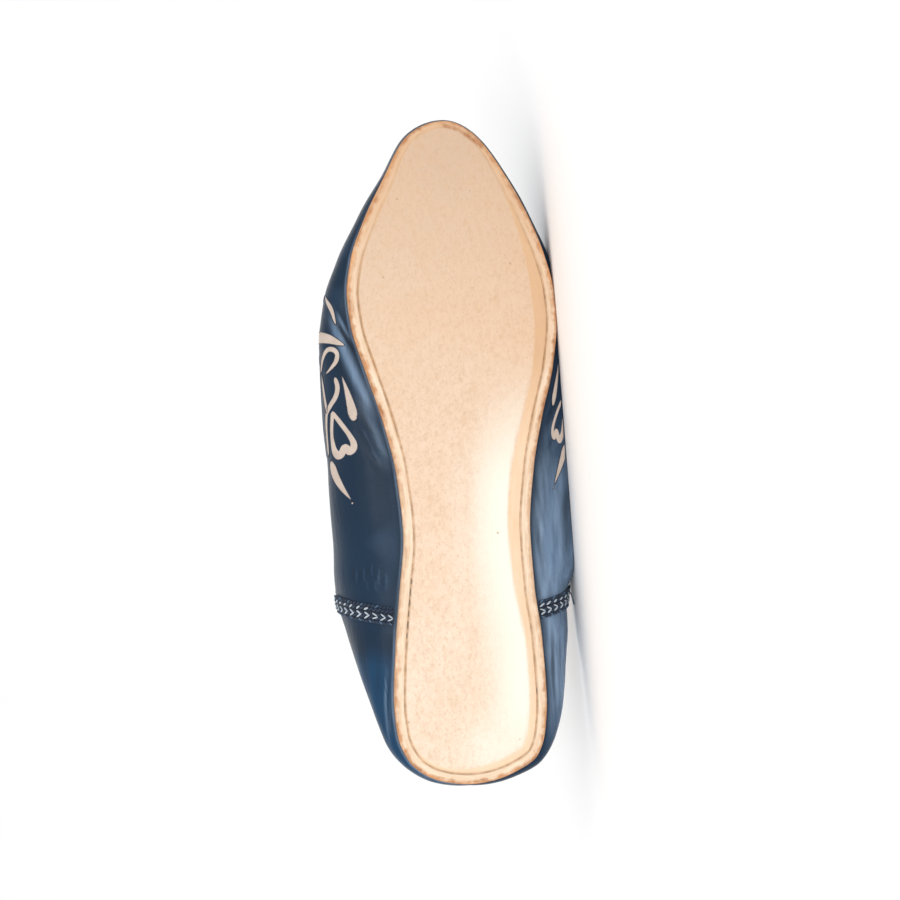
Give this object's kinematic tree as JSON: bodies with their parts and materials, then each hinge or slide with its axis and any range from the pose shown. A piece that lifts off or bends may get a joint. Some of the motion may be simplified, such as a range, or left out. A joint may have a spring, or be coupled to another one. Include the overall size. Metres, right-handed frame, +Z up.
{
  "type": "moroccan slipper",
  "caption": "Pointed flat-soled leather slipper with a folded-down heel, braided side seams and a corded throat, lying on its outer side.",
  "frame": {"origin": "middle of the footprint on the floor, the slipper lying on its outer side", "axes": "+X from heel to toe, +Y from the sole towards the instep, +Z up from the floor"},
  "size_m": [0.2574, 0.0526, 0.093],
  "materials": {
    "sole_leather": "pale vegetable-tanned sole leather, lightly burnished at the edge",
    "insole_leather": "smooth tan sheepskin over board",
    "upper_leather": "navy dyed goat leather, smooth and slightly glossy, with cut cream ornament",
    "braid_thread": "braided navy and pale thread",
    "collar_thread": "dark twisted cord"
  },
  "bodies": {
    "root": {"outsole": "sole_leather", "insole": "insole_leather", "upper": "upper_leather", "side_braid_inner": "braid_thread", "side_braid_outer": "braid_thread", "collar_cord": "collar_thread"}
  },
  "joints": []
}
